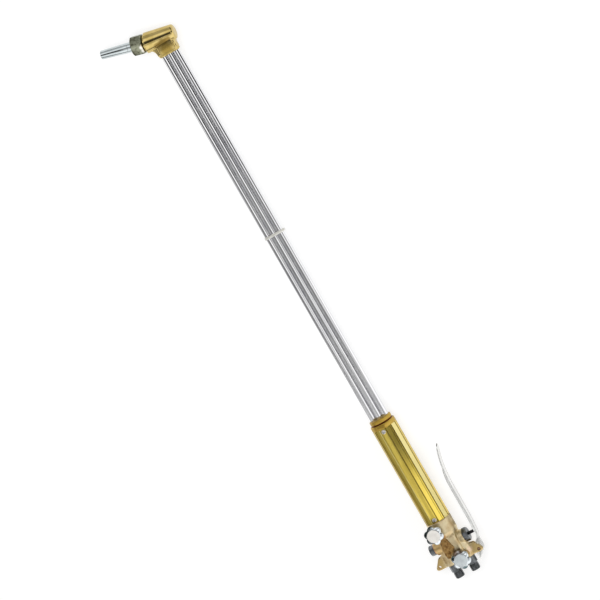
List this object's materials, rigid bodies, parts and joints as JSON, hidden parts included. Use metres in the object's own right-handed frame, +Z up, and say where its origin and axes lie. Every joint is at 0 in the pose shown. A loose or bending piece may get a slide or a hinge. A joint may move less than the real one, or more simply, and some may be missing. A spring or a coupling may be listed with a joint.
{
  "type": "hand cutting torch",
  "caption": "Long straight cutting torch: a row of slim tubes, angled head with nut and tip, fluted gold handle, squeeze lever, needle valve knobs and hose inlets.",
  "frame": {"origin": "centre of the footprint of the lying torch, on the surface that it lies on", "axes": "+X along the tubes towards the hose inlets, +Y towards the squeeze lever, +Z up, out of the two valve knobs"},
  "size_m": [0.9208, 0.148, 0.0549],
  "materials": {
    "forged_brass": "polished forged brass",
    "cast_brass": "dull tan forging with a rough middle",
    "nickel": "nickel plate with an olive cast",
    "chrome": "bright plate",
    "copper": "bare copper",
    "stainless_tube": "polished stainless",
    "stainless_sheet": "satin stainless sheet",
    "gold_aluminium": "gold anodised",
    "collar_gold": "deep gold anodised",
    "dark_steel": "dark plated steel",
    "steel": "zinc plated steel",
    "black_steel": "black oxide",
    "spacer_plastic": "moulded",
    "white_ptfe": "turned packing",
    "rubber": "moulded seal"
  },
  "bodies": {
    "torch": {"head": "forged_brass", "tip_nut": "nickel", "cutting_tip": "chrome", "tip_core": "copper", "fuel_tube": "stainless_tube", "preheat_oxygen_tube": "stainless_tube", "cutting_oxygen_tube": "stainless_tube", "tube_band": "steel", "handle_collar": "collar_gold", "handle_sleeve": "gold_aluminium", "tube_spacer": "spacer_plastic", "handle_screws": "steel", "rear_body": "cast_brass", "fuel_inlet": "dark_steel", "oxygen_inlet": "dark_steel", "inlet_filters": "copper", "valve_bonnet": "dark_steel", "bonnet_seal": "rubber", "valve_spring": "steel", "valve_plug": "dark_steel", "plug_gasket": "copper", "lever_pin": "steel", "fuel_gland_nut": "dark_steel", "fuel_packing": "white_ptfe", "oxygen_gland_nut": "dark_steel", "oxygen_packing": "white_ptfe"},
    "lever": {"lever": "stainless_sheet"},
    "cutting_valve": {"push_pin": "black_steel", "valve_poppet": "cast_brass", "poppet_seal": "rubber"},
    "fuel_needle": {"fuel_spindle": "steel"},
    "fuel_knob": {"fuel_knob": "chrome", "fuel_knob_screw": "steel", "fuel_knob_cap": "chrome"},
    "oxygen_needle": {"oxygen_spindle": "steel"},
    "oxygen_knob": {"oxygen_knob": "chrome", "oxygen_knob_screw": "steel", "oxygen_knob_cap": "chrome"}
  },
  "joints": [
    {"name": "lever_squeeze", "type": "hinge", "parent": "torch", "child": "lever", "pos_m": [0.43406, 0.05084, 0.0195], "axis": [0, 0, 1], "range_deg": [0, 8], "stiffness_Nm_per_rad": 2, "springref_deg": -11.46},
    {"name": "push_pin_travel", "type": "slide", "parent": "torch", "child": "cutting_valve", "axis": [0, -1, 0], "range_m": [0, 0.00376], "deforming": ["valve_spring"]},
    {"name": "fuel_needle_lift", "type": "slide", "parent": "torch", "child": "fuel_needle", "axis": [0, 0, 1], "range_m": [0, 0.002]},
    {"name": "fuel_knob_turn", "type": "hinge", "parent": "fuel_needle", "child": "fuel_knob", "pos_m": [0.38196, 0.00924, 0.041], "axis": [0, 0, 1], "range_deg": [0, 720]},
    {"name": "oxygen_needle_lift", "type": "slide", "parent": "torch", "child": "oxygen_needle", "axis": [0, 0, 1], "range_m": [0, 0.002]},
    {"name": "oxygen_knob_turn", "type": "hinge", "parent": "oxygen_needle", "child": "oxygen_knob", "pos_m": [0.43146, 0.02684, 0.041], "axis": [0, 0, 1], "range_deg": [0, 720]}
  ],
  "couplings": [
    {"joint": "push_pin_travel", "follows": "lever_squeeze", "m_per_rad": 0.0266},
    {"joint": "fuel_knob_turn", "follows": "fuel_needle_lift", "rad_per_m": 6283.2},
    {"joint": "oxygen_knob_turn", "follows": "oxygen_needle_lift", "rad_per_m": 6283.2}
  ]
}
